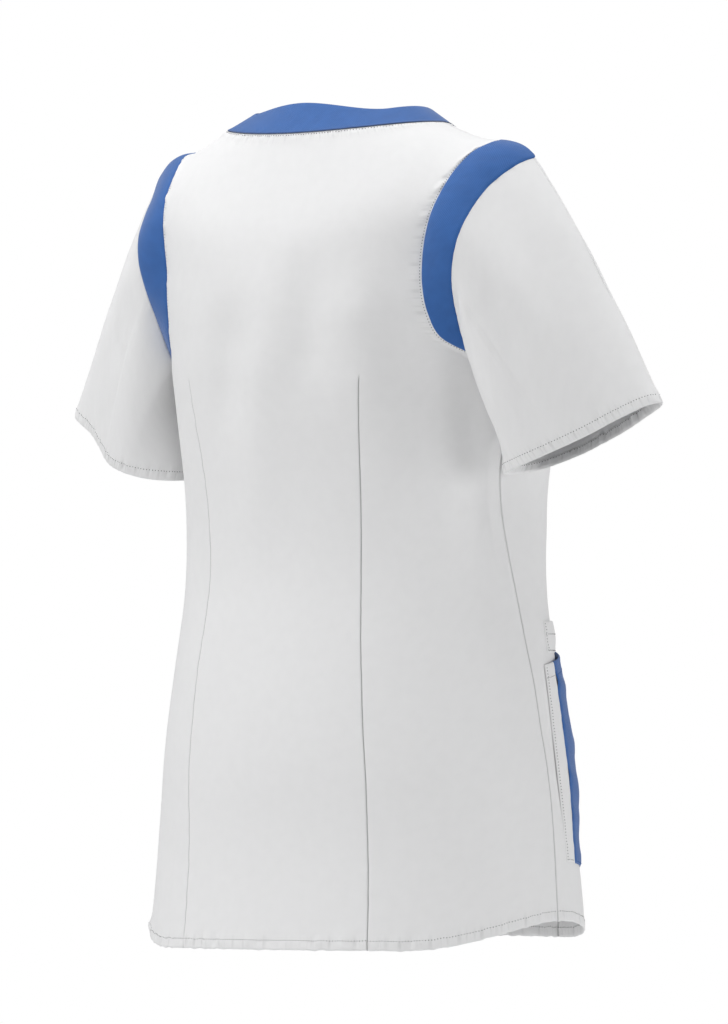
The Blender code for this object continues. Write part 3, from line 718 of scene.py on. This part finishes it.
backPanel = {
    "seed": 3.0, "calm": 9.0, "waves": (0.7, 60.0), "puckers": (1.5, 8.5, 5.5),
    "passes": 24, "shoulderPasses": 400,
    # dartDark is the strength of painted shade in the dart's crease
    "dartTop": -226.0, "dartDeep": 0.9, "dartDark": 0.7,
    # path in degrees from the centre back (wearer's left is positive) and height, width, height, lean
    "folds": [
        ([(-12, -110), (-15.7, -156), (-17, -200), (-16, -255)], 17, -4.2, 1.0),
        ([(-28, -105), (-30, -170), (-32, -235), (-31, -300)], 20, 5.0, 1.2),
        ([(-3, -110), (-2, -200), (0, -250), (3, -310), (6, -400)], 20, 4.0, 1.0),
        ([(8, -140), (12, -190), (14, -230), (18, -310)], 26, -7.5, 0.8),
        ([(-40, -160), (-44, -195), (-50, -240), (-51, -315), (-44, -400)], 26, -6.5, 1.0),
        ([(-58, -160), (-63, -210), (-66, -250), (-70, -320), (-71, -400), (-72, -500)], 32, -12.0, 1.1),
        ([(-52, -260), (-56, -320), (-54, -400)], 16, 1.8, 1.0),
        ([(36, -320), (39, -372), (38, -430)], 16, -2.0, 1.0),
        ([(22, -480), (20, -540), (24, -600)], 30, -1.4, 1.0),
        ([(-80, -600), (-78, -665)], 28, -1.3, 1.0),
        ([(-36, -44), (-50, -32), (-65, -17)], 2.2, -0.14, 0.8),
        ([(4, -92), (-10, -88)], 2.2, -0.12, 1.0)],
}
frontPanel = {
    "seed": 17.0, "calm": 15.0, "waves": (0.7, 60.0), "puckers": (1.5, 8.5, 5.5),
    "passes": 24, "shoulderPasses": 400,
    # dartDark is the strength of painted shade in the dart's crease
    "dartTop": -262.0, "dartDeep": 0.9, "dartDark": 0.45,
    # degrees here run from the centre front
    "folds": [
        ([(52, -190), (46, -240), (40, -300), (34, -350)], 16, -2.6, 0.9),
        ([(-49, -185), (-45, -235), (-41, -290)], 18, -2.8, 1.1),
        ([(62, -215), (60, -270), (57, -350)], 18, 1.8, 1.0),
        ([(-64, -220), (-60, -290), (-58, -370)], 17, -2.0, 0.9),
        ([(18, -230), (13, -300), (12, -370)], 20, -1.8, 1.0),
        ([(-15, -240), (-12, -330), (-9, -400)], 18, 1.6, 1.0),
        ([(-22, -120), (-30, -165), (-42, -200)], 12, -1.2, 1.0),
        ([(24, -118), (33, -160), (44, -190)], 12, -1.3, 1.0)],
}
print("panels started")
backColumns, frontColumns = columnPlaces(False), columnPlaces(True)
backPatches = [dressPanel(backRows(), backColumns, side, backPanel) for side in (1, -1)]
frontPatches = [dressPanel(frontRows(), frontColumns, side, frontPanel, True) for side in (1, -1)]
measure("back", backPatches)
measure("front", frontPatches)
backSheet = buildSheet("backSheet", backPatches, whiteCloth, "back")
frontSheet = buildSheet("frontSheet", frontPatches, whiteCloth, "front")


def inner(lines):  # the same stitches on the inner face
    return [(line - facing * (cloth["thick"] + 0.02), -facing) for line, facing in lines]


def rowsBetween(rows, low, high):
    inside = [number for number, row in enumerate(rows) if low <= row[3] <= high]
    return inside[0], inside[-1] + 1


hemLines = [seamLine(patch, "bottom", cloth["stitchUp"]) for patch in backPatches]
first, last = rowsBetween(backRows(), underarm + 2.6, tip + 0.2)
edgeLines = [seamLine(patch, "end", cloth["edgeStitch"], first, last) for patch in backPatches]
edgeLines += [seamLine(patch, "top", cloth["edgeStitch"]) for patch in backPatches]
backStitches = buildStitches("backStitches", hemLines + inner(hemLines) + edgeLines, paintedShadeThread)
hemLines = [seamLine(patch, "bottom", cloth["stitchUp"]) for patch in frontPatches]
first, last = rowsBetween(frontRows(), underarm + 2.6, tip)
edgeLines = [seamLine(patch, "end", cloth["edgeStitch"], first, last) for patch in frontPatches]
first, last = rowsBetween(frontRows(), underarm + bodyForm["vRow"] + 0.05, tip)
edgeLines += [seamLine(patch, "start", cloth["edgeStitch"], first, last) for patch in frontPatches]
dartRows = [number for number, row in enumerate(frontRows()) if row[3] < 2.5]
dartColumn = frontColumns.index(1.0) + 3
dartLines = []
for patch in frontPatches:
    part = (slice(0, dartRows[-1]), dartColumn)
    deep = cloth["thick"] * patch["weights"][part][:, None] + 0.02
    dartLines.append((patch["points"][part] - patch["normals"][part] * deep, -patch["normals"][part]))
frontStitches = buildStitches("frontStitches", hemLines + inner(hemLines) + edgeLines, paintedShadeThread)
insideStitches = buildStitches("insideStitches", dartLines, paintedShadeThread, pitch=2.2)


# armhole insets: a crescent from the back of the underarm over the shoulder
inset = {
    # sleeve-side edge, from the shoulder to the back of the underarm
    "edge": [(210.0, 22.0, -36.0), (207.0, 37.0, -40.5), (200.0, 52.0, -50.0), (192.5, 66.5, -63.0),
             (188.5, 81.5, -79.5), (185.0, 94.5, -99.0), (180.5, 99.5, -121.0), (175.5, 96.5, -144.0),
             (172.0, 88.0, -166.0), (170.2, 77.0, -188.0), (170.8, 65.0, -206.5)],
    "tipWide": 2.7, "bulge": 5.0, "turn": 0.35, "fine": 5,
    "columns": [0, 0.8, 1.4, 2.2, 3.4], "middleColumns": 12, "tuck": 0.8,
    "puckers": (0.8, 9.0, 6.0), "waves": (0.5, 24.0),
}
insetSteps = bodyForm["tip"] - bodyForm["crescent"]


def alongLine(line, shares):  # points at shares of a line's length
    run = lengthsAlong(line)
    return readLine(line, run / run[-1], shares)


insetCurve = np.array([readTable(inset["edge"], k / 8) for k in range(8 * len(inset["edge"]) - 7)])


def insetEdges(number):  # 0 at the back tip, steps at the shoulder, 2 steps at the front tip
    back = insetSteps - number if number <= insetSteps else number - insetSteps
    down = alongLine(insetCurve, [back / insetSteps])[0]
    backEdge = np.array(bodyPoint(levelAt(tip - back)[7], tip - back))
    body, outer = backEdge, down
    if number > insetSteps:
        body = np.array(bodyPoint(frontAngle(bodyForm["tip"] - back), tip - back))
        across = down - backEdge
        across[1] *= mix(1.0, -1.0, ease(back / insetSteps / inset["turn"]))
        outer = body + across
    if back > insetSteps - 0.5:
        way = (outer - body) / np.linalg.norm(outer - body)
        outer = body + way * max(np.linalg.norm(outer - body), inset["tipWide"])
    return body, outer


def insetPatch(side, seed):
    points = []
    numbers = [k / inset["fine"] for k in range(2 * insetSteps * inset["fine"] + 1)]
    top = insetEdges(insetSteps)[0] - (0, 0, 90)
    for number in numbers:
        body, outer = insetEdges(number)
        wide = np.linalg.norm(outer - body)
        way = (outer - body) / wide
        body, outer = body - way * inset["tuck"], outer + way * inset["tuck"]
        lift = (body + outer) / 2 - top
        lift /= np.linalg.norm(lift)
        edge = [d * min(1, wide / 12) for d in inset["columns"]]
        shares = edgeShares(wide, edge, edge[::-1], inset["middleColumns"])
        swell = inset["bulge"] * 4 * min(wide / 40, 1) * math.sin(math.pi * number / numbers[-1])
        points.append([mix(body, outer, s) + lift * swell * s * (1 - s) for s in shares])
    points = np.array(points)
    across, up = arcs(points)
    away = np.minimum(across, across[:, -1:] - across)
    relief = waves(up, across, *inset["waves"], seed)
    relief += puckers(up, away, *inset["puckers"], seed + 1)
    relief = relief * easeAll((away - 1.4) / 5) - tucked(away)
    points[:, :, 0] *= side
    centre = points * (0, 0, 0.5) + (side * 110, 20, -110)
    return makePatch(points, centre, relief, away, 99.0, drop=0.0)


insetSheets = {}
for name, side in (("left", 1), ("right", -1)):
    patch = insetPatch(side, 31.0 + side)
    measure("inset", [patch])
    sheet = buildSheet("inset_" + name + "_sheet", [patch], blueCloth, "inset_" + name)
    insetSheets[name] = sheet


# short sleeves, from the inset and the underarm to the cuff
sleeve = {
    # the cuff, an oval in a sloping plane
    "cuff": [(336.0, 4.0, -253.5), (329.5, 15.0, -256.0), (316.0, 22.0, -262.5), (300.0, 28.0, -270.5),
             (283.0, 38.0, -281.0), (267.0, 50.0, -290.5), (250.0, 61.0, -299.5), (231.0, 65.0, -307.0),
             (211.0, 60.0, -312.5), (196.0, 49.5, -314.5), (188.5, 34.0, -314.5), (188.5, 17.0, -313.5),
             (196.0, 0.0, -310.5), (211.0, -12.0, -304.5), (232.0, -18.0, -296.5), (258.0, -19.0, -286.0),
             (285.0, -17.0, -275.0), (310.0, -12.0, -264.0), (329.0, -6.0, -256.0)],
    "bulge": 5.5, "back": 4.0, "lowBack": 12.0, "front": 9.0, "clear": 7.0, "reach": 25.0, "fine": 6,
    "seamRows": [0, 0.5, 1.2, 2.2, 3.6], "rows": 46,
    "hemRows": [13.0, 10.3, 9.3, 8.6, 8.0, 7.2, 5.4, 3.2, 1.5, 0.7, 0.25, 0],
    "puckers": (2.4, 8.5, 5.5), "waves": (0.8, 50.0),
    "out": (0.82, 0.0, 0.57), "fuller": (1.35, 0.7), "foldLength": 240, "underFrom": 150, "underCalm": 0.3,
    # path as turn round from the shoulder towards the back and share of the length, in mm
    "folds": {
        "right": [([(140, 8), (165, 13), (190, 17), (206, 22)], 7, -3.2, 1.0),
                  ([(135, 26), (165, 31), (192, 36), (212, 44)], 9, 2.4, 1.2),
                  ([(118, 40), (126, 100), (132, 150)], 15, -2.6, 1.0),
                  ([(84, 30), (88, 90), (92, 170)], 18, 1.6, 1.0),
                  ([(-60, 40), (-70, 110), (-76, 180)], 18, -2.4, 1.0),
                  ([(30, 60), (24, 140), (20, 210)], 22, -1.2, 1.0)],
        "left": [([(118, 30), (120, 90), (124, 160)], 20, -3.4, 0.9),
                 ([(78, 30), (74, 100), (70, 180)], 20, 1.8, 1.0),
                 ([(-70, 50), (-78, 120), (-80, 190)], 18, -2.4, 1.0),
                 ([(-20, 70), (-16, 150), (-14, 220)], 22, -1.2, 1.0)]},
}
heightTable = [(levelAt(k / 8)[4], levelAt(k / 8)[0], levelAt(k / 8)[2], levelAt(k / 8)[3])
               for k in range(8 * underarm + 1)]


def clearOfBody(point, share):  # moved sideways where it comes nearer to the body than it may
    heights = [row[0] for row in heightTable]
    half, back, front = (np.interp(point[2], heights, [row[k] for row in heightTable]) for k in (1, 2, 3))
    depth = back if point[1] > 0 else front
    nearSeam = 1 - ease((bodyForm["yoke"][0][2] - point[2]) / sleeve["reach"])
    half = mix(half, levelAt(underarm + 2)[0], nearSeam)
    bodyX = half * math.sqrt(max(1 - (point[1] / depth) ** 2, 0))
    if point[2] < bodyForm["yoke"][bodyForm["crescent"]][2]:
        point[0] = max(point[0], bodyX + 0.42 + sleeve["clear"] * min(share * 1.6, 1))
    return point


def sleeveRing():
    fine = sleeve["fine"]
    steps = [k / fine for k in range(insetSteps * fine + 1)]
    ring = [insetEdges(insetSteps - k)[1] for k in steps]
    rows = [k / fine for k in range(bodyForm["crescent"] * fine)]
    ring += [np.array(bodyPoint(levelAt(underarm + r)[7], underarm + r)) for r in rows[::-1]]
    ring += [np.array(bodyPoint(frontAngle(r), underarm + r)) for r in rows[1:]]
    ring += [insetEdges(insetSteps + k)[1] for k in steps[:0:-1]]
    return np.array(ring), len(steps), len(steps) + 2 * len(rows) - 1


def sleevePatch(side, table, seed):
    ring, under, past = sleeveRing()
    closed = np.concatenate([ring, ring[:1]])
    steps = np.linalg.norm(np.diff(closed, axis=0), axis=1)
    turns = np.concatenate([[0], np.cumsum(steps)[:-1]]) / steps.sum()
    count = len(sleeve["cuff"])
    looped = [sleeve["cuff"][(k - 1) % count] for k in range(count + 3)]
    curve = np.array([readTable(looped, 1 + k / 8) for k in range(8 * count + 1)])
    cuff = alongLine(curve, turns)
    columns = []
    for number, (a, b, turn) in enumerate(zip(ring, cuff, turns)):
        long = np.linalg.norm(b - a)
        shares = edgeShares(long, sleeve["seamRows"], sleeve["hemRows"], sleeve["rows"])
        upper = max(math.cos(2 * math.pi * turn), 0) ** 0.7
        out = np.array(sleeve["out"]) * sleeve["bulge"] * upper
        out[1] = math.sin(2 * math.pi * turn)
        lower = max(-math.cos(2 * math.pi * turn), 0) ** 0.5
        out[1] *= sleeve["back"] + sleeve["lowBack"] * lower if out[1] > 0 else sleeve["front"]
        line = []
        for share in shares:
            fuller = sleeve["fuller"][0] - sleeve["fuller"][1] * share
            point = mix(a, b, share) + out * 4 * share * (1 - share) * fuller
            line.append(clearOfBody(point, share) if share > 0 else point)
        if under <= number < past:
            line[0] = a + np.array([a[0], a[1], 0.0]) / math.hypot(a[0], a[1]) * 0.4
        else:
            line[0] = a + (line[1] - a) / np.linalg.norm(line[1] - a) * cloth["seam"]
        columns.append(line)
    points = np.array(columns).transpose(1, 0, 2)
    _, up = arcs(points)
    around = np.where(turns > 0.5, turns - 1, turns) * steps.sum()
    around = np.broadcast_to(around, up.shape)
    hemAway = up[-1:] - up
    middle = up / up[-1:] * sleeve["foldLength"]
    relief = folds(around, middle, table, seed) + waves(around, up, *sleeve["waves"], seed)
    relief *= easeAll(up / 14) * mix(0.4, 1.0, easeAll(hemAway / 26))
    size, pitch, reach = sleeve["puckers"]
    relief += puckers(around, fromStitch(hemAway), size, pitch, reach, seed + 1)
    relief += 0.45 * puckers(around, up, size, pitch, reach, seed + 2) * easeAll(up / 2)
    calm = np.minimum(relief, mix(sleeve["underCalm"], relief, sleeve["underCalm"]))
    relief = np.where(np.abs(around) > sleeve["underFrom"], calm, relief)
    points[:, :, 0] *= side
    centre = points.mean(axis=1, keepdims=True) * np.ones((1, points.shape[1], 1))
    ripple = np.maximum(hemGather(hemAway), 0.4 * bell(up, 4.0))
    return makePatch(points, centre, relief, up, hemAway, wrap=True, along=around, ripple=ripple)


for name, side in (("left", 1), ("right", -1)):
    patch = sleevePatch(side, sleeve["folds"][name], 47.0 + side)
    measure("sleeve", [patch])
    sheet = buildSheet("sleeve_" + name + "_sheet", [patch], whiteCloth, "sleeve_" + name)
    # the cuff's line closes on its first point
    cuffLines = [tuple(np.vstack([row, row[:1]]) for row in seamLine(patch, "top", cloth["stitchUp"]))]
    threads = buildStitches("sleeve_" + name + "_stitches", cuffLines + inner(cuffLines), paintedShadeThread)


# neckband, doubled, with its fold at the free edge
band = {
    "back": (25.0, 28.0), "shoulder": (25.0, 14.5), "turn": 1.5, "point": (5.0, 44.0),
    "backSteps": 60, "rowStep": 0.16, "columns": [0, 0.5, 1.2, 2.2], "middleColumns": 9,
    "rim": [1.5, 0.7, 0.25, 0], "puckers": (0.5, 10.0, 5.0), "waves": (0.4, 40.0), "over": 0.8,
}


def bandPatch(side, seed):
    runs = []
    for k in range(band["backSteps"] + 1):
        turn = k / band["backSteps"]
        angle = math.pi / 2 * turn
        share = ease(turn * band["turn"])
        inwards, up = (mix(a, b, share) for a, b in zip(band["back"], band["shoulder"]))
        way = np.array([-math.sin(angle) * inwards, -math.cos(angle) * inwards, up])
        runs.append((np.array(bodyPoint(angle, neck)), way))
    shoulder, pointOfV = bodyPoint(*neckV(1.0)), bodyPoint(*neckV(0.0))
    rows = bodyForm["tip"] - bodyForm["vRow"]
    count = round(rows / band["rowStep"])
    for k in range(1, count + 1):
        seam = np.array(bodyPoint(*neckV(1 - k / count)))
        covered = (shoulder.z - seam[2]) / (shoulder.z - pointOfV.z)
        shoulderWay = np.array([-band["shoulder"][0], 0.0, band["shoulder"][1]])
        runs.append((seam, mix(shoulderWay, np.array([0.0, *band["point"]]), covered)))
    points = []
    for seam, way in runs:
        long = np.linalg.norm(way)
        foot = seam - way / long * band["over"]
        shares = edgeShares(long, band["columns"], band["rim"], band["middleColumns"])
        points.append([mix(foot, seam + way, s) for s in shares])
    points = np.array(points)
    points[0, :, 0] = points[-1, :, 0] = 0
    across, up = arcs(points)
    rimAway = across[:, -1:] - across
    relief = waves(up * side, across, *band["waves"], seed) * easeAll(across / 6) * easeAll(up / 12)
    relief += puckers(up, across, *band["puckers"], seed + 1) * easeAll(across / 2) * easeAll(up / 12)
    relief *= easeAll((up[-1:] - up) / 12)
    relief += 0.85 - 0.35 * easeAll(across / 3)
    # painted shadow along the band's foot, where it lies over the panel below
    shade = bell(across, 1.3) * 0.85
    points[:, :, 0] *= side
    centre = points * (0, 0, 1) + (0, 30, 0)
    return makePatch(points, centre, relief, across, np.minimum(rimAway, cloth["hemWide"] - 1), drop=0.15,
                     shade=shade)


bandPatches = [bandPatch(side, 61.0) for side in (1, -1)]
measure("neckband", bandPatches)
bandSheet = buildSheet("neckbandSheet", bandPatches, blueCloth, "neckband")


# patch pockets on the front, standing a little off it
pocket = {
    # node, angles from the centre back, top and bottom height, rise of the mouth, swell and its angles
    "patches": [("pocket_strip", 98.0, 105.6, -481.0, -668.0, 20.0, 5.0, 98.0, 152.0),
                ("pocket_panel", 105.8, 152.0, -481.0, -668.0, 20.0, 5.0, 98.0, 152.0),
                ("pocket_upper", 103.0, 138.0, -442.0, -470.0, 0.0, 2.0, 103.0, 138.0)],
    "mouth": 0.62, "lay": 1.55, "edgeLay": 1.0, "edge": [0, 0.5, 1.2, 2.2, 3.6],
    "mouthRows": [14.5, 12.4, 11.6, 11.0, 8.0, 5.0, 2.6, 1.5, 0.7, 0.25, 0], "stitchUp": 12.0,
    "puckers": (0.8, 8.5, 4.5), "waves": (0.5, 40.0), "ripples": (2.2, 17.0),
    "mmPerDegree": 2.75, "columnStep": 3.4, "rowStep": 4.0,
    "flat": {"pocket_strip": (0.0195, 0.19), "pocket_panel": (0.135, 0.205), "pocket_upper": (0.10, 0.03)},
}


def placeAt(z):
    table = [(levelAt(k / 8)[4], k / 8) for k in range(8 * underarm + 1)]
    return float(np.interp(z, [row[0] for row in table], [row[1] for row in table]))


def pocketPatch(sizes, side, seed):
    name, start, end, top, bottom, rise, swell, swellFrom, swellTo = sizes
    wide, high = (end - start) * pocket["mmPerDegree"], top - bottom
    columns, rows = max(3, round(wide / pocket["columnStep"])), max(3, round(high / pocket["rowStep"]))
    acrossShares = edgeShares(wide, pocket["edge"], pocket["edge"][::-1], columns)
    upShares = edgeShares(high, pocket["edge"], pocket["mouthRows"], rows)
    points, normals = [], []
    for upShare in upShares:
        line = []
        for share in acrossShares:
            turn = mix(start, end, share)
            across = (turn - swellFrom) / (swellTo - swellFrom)
            angle = math.radians(turn)
            place = mix(placeAt(bottom), placeAt(top + rise * across), upShare)
            point = bodyPoint(angle, place)
            ahead = bodyPoint(angle + 0.02, place) - bodyPoint(angle - 0.02, place)
            above = bodyPoint(angle, place + 0.02) - bodyPoint(angle, place - 0.02)
            normal = ahead.cross(above).normalized()
            if normal.x * point.x + normal.y * point.y < 0:
                normal = -normal
            full = max(math.sin(math.pi * across), 0) ** 0.6 * ease(upShare * 2)
            full *= mix(1, pocket["mouth"], ease(upShare * 2 - 1))
            line.append(point + normal * (swell * full))
        points.append(line)
    points = np.array(points)
    across, up = arcs(points)
    mouthAway = up[-1:] - up
    sideAway = np.minimum(across, across[:, -1:] - across)
    away = np.minimum(sideAway, up)
    relief = waves(across, up, *pocket["waves"], seed) * easeAll(away / 10)
    if name == "pocket_panel":
        relief += waves(across * 0.3, up, *pocket["ripples"], seed + 5) * easeAll(up / 14)
    size, pitch, reach = pocket["puckers"]
    relief += puckers(up, sideAway, size, pitch, reach, seed + 1) * easeAll(away / 2)
    relief += puckers(across, up, size, pitch, reach, seed + 2) * easeAll(away / 2)
    relief += puckers(across, np.abs(mouthAway - 8), size, pitch, reach, seed + 3) * easeAll(away / 2)
    relief = np.maximum(relief, -0.35) + mix(pocket["edgeLay"], pocket["lay"], easeAll(away / 4))
    points[:, :, 0] *= side
    return makePatch(points, points * (0, 0, 1), relief, away, mouthAway)


for name, side in (("left", 1), ("right", -1)):
    for number, sizes in enumerate(pocket["patches"]):
        kind = sizes[0]
        if kind == "pocket_upper" and name == "left":
            continue
        blue = kind == "pocket_panel"
        material, thread = (blueCloth, blueThread) if blue else (whiteCloth, paintedShadeThread)
        patch = pocketPatch(sizes, side, 71.0 + 3 * number + side)
        measure(kind, [patch])
        sheet = buildSheet(kind + "_" + name + "_sheet", [patch], material, kind + "_" + name)
        lines = [seamLine(patch, "top", pocket["stitchUp"]), seamLine(patch, "bottom", cloth["edgeStitch"])]
        if kind != "pocket_panel":
            lines.append(seamLine(patch, "start", cloth["edgeStitch"]))
        if kind != "pocket_strip":
            lines.append(seamLine(patch, "end", cloth["edgeStitch"]))
        threads = buildStitches(kind + "_" + name + "_stitches", lines, thread)


# floor, light and camera
studio = {
    "floorZ": -1.40, "floorWide": 12.0, "sky": 0.24, "lens": 395.7, "away": 10.0, "drop": -0.189,
    "turn": math.radians(39.5), "target": (-0.0018, -0.3444), "lightSize": 3.0,
    # ahead of the tunic towards the camera, to the left, up, power
    "lights": {
        "topLight": (0.0, 0.0, 6.0, 209.0), "leftLight": (0.0, 4.2, 4.2, 110.0),
        "backLight": (3.0, 1.8, 4.85, 85.0), "lowLeftLight": (4.2, 4.2, 0.0, 66.0),
        "rightLight": (0.6, -5.9, 0.0, 122.0), "lowRightLight": (4.2, -4.2, 0.0, 32.0)},
}
bpy.ops.mesh.primitive_circle_add(vertices=96, radius=studio["floorWide"], fill_type="NGON",
                                  location=(0, 0, studio["floorZ"]))
floor = bpy.context.active_object
floor.name = "floor"
floorPaint = bpy.data.materials.new("floorPaint")
floorPaint.use_nodes = True
floorShader = floorPaint.node_tree.nodes["Principled BSDF"]
floorShader.inputs["Base Color"].default_value = (0.86, 0.86, 0.86, 1)
floorShader.inputs["Roughness"].default_value = 0.9
floor.data.materials.append(floorPaint)

world = bpy.data.worlds.new("studio")
scene.world = world
world.use_nodes = True
nodes, links = world.node_tree.nodes, world.node_tree.links
nodes["Background"].inputs["Color"].default_value = (0.985, 0.99, 1.0, 1)
nodes["Background"].inputs["Strength"].default_value = studio["sky"]
plain = nodes.new("ShaderNodeBackground")
plain.inputs["Color"].default_value = (1, 1, 1, 1)
seen, choose = nodes.new("ShaderNodeLightPath"), nodes.new("ShaderNodeMixShader")
links.new(seen.outputs["Is Camera Ray"], choose.inputs["Fac"])
links.new(nodes["Background"].outputs["Background"], choose.inputs[1])
links.new(plain.outputs["Background"], choose.inputs[2])
links.new(choose.outputs["Shader"], nodes["World Output"].inputs["Surface"])

right = Vector((-math.cos(studio["turn"]), -math.sin(studio["turn"]), 0))
towards = Vector((-math.sin(studio["turn"]), math.cos(studio["turn"]), 0))
target = right * studio["target"][0] + Vector((0, 0, studio["target"][1]))

for name, (ahead, left, up, power) in studio["lights"].items():
    place = target + towards * ahead - right * left + Vector((0, 0, up))
    light = bpy.data.lights.new(name, "AREA")
    light.size = studio["lightSize"]
    light.energy = power
    lamp = bpy.data.objects.new(name, light)
    lamp.location = place
    lamp.rotation_euler = (target - place).to_track_quat("-Z", "Y").to_euler()
    scene.collection.objects.link(lamp)

camera = bpy.data.objects.new("camera", bpy.data.cameras.new("camera"))
camera.data.lens = studio["lens"]
camera.data.clip_end = 60
camera.location = target + towards * studio["away"] + Vector((0, 0, studio["drop"]))
camera.rotation_euler = (target - camera.location).to_track_quat("-Z", "Y").to_euler()
scene.collection.objects.link(camera)
scene.camera = camera
